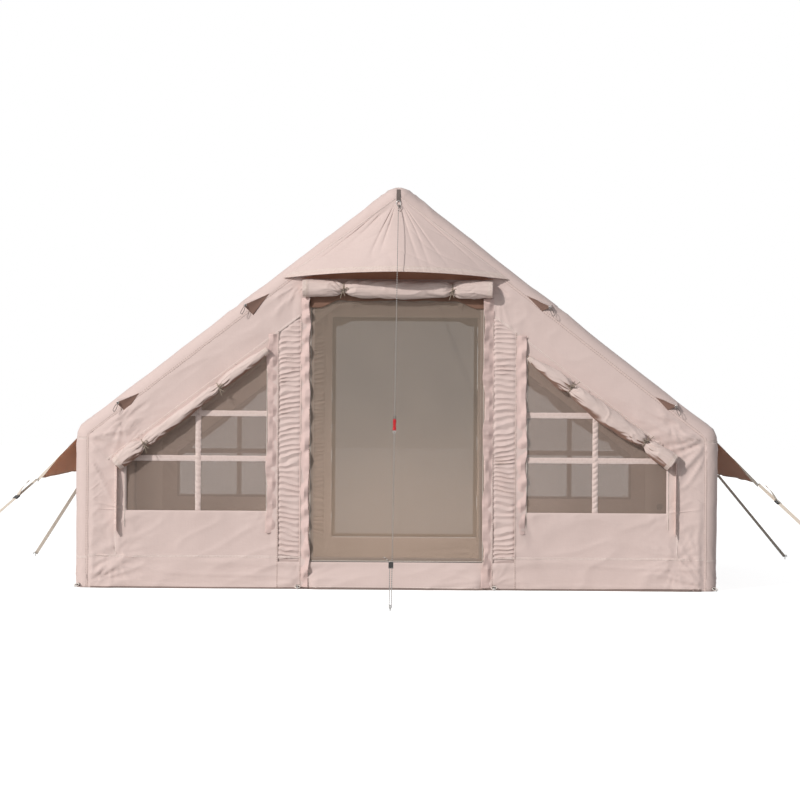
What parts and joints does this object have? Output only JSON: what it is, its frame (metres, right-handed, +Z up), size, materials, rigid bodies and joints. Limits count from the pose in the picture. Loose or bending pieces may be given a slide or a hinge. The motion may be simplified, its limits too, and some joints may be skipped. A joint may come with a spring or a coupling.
{
  "type": "inflatable tent",
  "caption": "House-shaped tent on air-filled beams with mesh doors, barred mesh windows, rolled covers, gable hoods and eave wings pegged out by straps.",
  "frame": {"origin": "middle of the floor, on the ground", "axes": "+X to the right seen from the front, -Y out of the front door, +Z up"},
  "size_m": [5.8978, 5.0857, 2.5105],
  "materials": {
    "cloth": "sand oxford cloth, matt",
    "lining": "coated sand cloth, dark underside",
    "mesh": "fine brown insect mesh",
    "webbing": "sand polyester webbing",
    "film": "clear urethane film",
    "floor_cloth": "grey coated floor cloth",
    "plastic": "black moulded plastic",
    "steel": "plated steel",
    "red_metal": "red anodised aluminium",
    "cord": "braided cord with a reflective fleck"
  },
  "bodies": {
    "tent": {"front_arch_bladder": "film", "front_arch_sleeve": "cloth", "front_door_roll": "cloth", "front_guyline": "cord", "front_guyline_peg": "steel", "front_hood": "cloth", "front_left_cover_roll": "cloth", "front_left_peg": "steel", "front_left_strap": "webbing", "front_left_window_bars": "webbing", "front_left_window_mesh": "mesh", "front_right_cover_roll": "cloth", "front_right_peg": "steel", "front_right_strap": "webbing", "front_right_window_bars": "webbing", "front_right_window_mesh": "mesh", "front_valve_body": "plastic", "front_wall": "cloth", "groundsheet": "floor_cloth", "guyline_anchor": "webbing", "guyline_tensioner": "plastic", "left_eave_beam_bladder": "film", "left_eave_beam_sleeve": "cloth", "left_eave_wing": "lining", "left_roof_panel": "cloth", "left_side_wall": "cloth", "rear_arch_bladder": "film", "rear_arch_sleeve": "cloth", "rear_door_roll": "cloth", "rear_hood": "cloth", "rear_left_cover_roll": "cloth", "rear_left_peg": "steel", "rear_left_strap": "webbing", "rear_left_window_bars": "webbing", "rear_left_window_mesh": "mesh", "rear_right_cover_roll": "cloth", "rear_right_peg": "steel", "rear_right_strap": "webbing", "rear_right_window_bars": "webbing", "rear_right_window_mesh": "mesh", "rear_valve_body": "plastic", "rear_wall": "cloth", "ridge_beam_bladder": "film", "ridge_beam_sleeve": "cloth", "right_eave_beam_bladder": "film", "right_eave_beam_sleeve": "cloth", "right_eave_wing": "lining", "right_roof_panel": "cloth", "right_side_wall": "cloth"},
    "front_mesh_door": {"front_mesh_door": "mesh"},
    "rear_mesh_door": {"rear_mesh_door": "mesh"},
    "front_left_zip_slider": {"front_left_zip_slider": "steel"},
    "front_right_zip_slider": {"front_right_zip_slider": "steel"},
    "rear_left_zip_slider": {"rear_left_zip_slider": "steel"},
    "rear_right_zip_slider": {"rear_right_zip_slider": "steel"},
    "front_valve_cap": {"front_valve_cap": "plastic"},
    "rear_valve_cap": {"rear_valve_cap": "plastic"},
    "guyline_runner": {"guyline_runner": "red_metal"},
    "front_left_buckle": {"front_left_buckle": "plastic"},
    "front_right_buckle": {"front_right_buckle": "plastic"}
  },
  "joints": [
    {"name": "front_mesh_door_swing", "type": "hinge", "parent": "tent", "child": "front_mesh_door", "pos_m": [0, -1.4985, 1.81478], "axis": [1, 0, 0], "range_deg": [0, 60]},
    {"name": "front_left_zip_slide", "type": "slide", "parent": "tent", "child": "front_left_zip_slider", "axis": [0, 0, 1], "range_m": [0, 1.576]},
    {"name": "front_right_zip_slide", "type": "slide", "parent": "tent", "child": "front_right_zip_slider", "axis": [0, 0, 1], "range_m": [0, 1.576]},
    {"name": "front_valve_cap_turn", "type": "hinge", "parent": "tent", "child": "front_valve_cap", "pos_m": [1.895, -1.2947, 0.42], "axis": [0, 1, 0], "range_deg": [0, 90]},
    {"name": "rear_mesh_door_swing", "type": "hinge", "parent": "tent", "child": "rear_mesh_door", "pos_m": [0, 1.4985, 1.81478], "axis": [-1, 0, 0], "range_deg": [0, 60]},
    {"name": "rear_left_zip_slide", "type": "slide", "parent": "tent", "child": "rear_left_zip_slider", "axis": [0, 0, 1], "range_m": [0, 1.576]},
    {"name": "rear_right_zip_slide", "type": "slide", "parent": "tent", "child": "rear_right_zip_slider", "axis": [0, 0, 1], "range_m": [0, 1.576]},
    {"name": "rear_valve_cap_turn", "type": "hinge", "parent": "tent", "child": "rear_valve_cap", "pos_m": [1.895, 1.2947, 0.42], "axis": [0, -1, 0], "range_deg": [0, 90]},
    {"name": "guyline_runner_slide", "type": "slide", "parent": "tent", "child": "guyline_runner", "axis": [-0.0022, 0.5538, 0.8326], "range_m": [-0.3, 0.4]},
    {"name": "front_left_buckle_slide", "type": "slide", "parent": "tent", "child": "front_left_buckle", "axis": [-0.5276, -0.6532, -0.5432], "range_m": [-0.12, 0.3]},
    {"name": "front_right_buckle_slide", "type": "slide", "parent": "tent", "child": "front_right_buckle", "axis": [0.5276, -0.6532, -0.5432], "range_m": [-0.12, 0.3]}
  ]
}
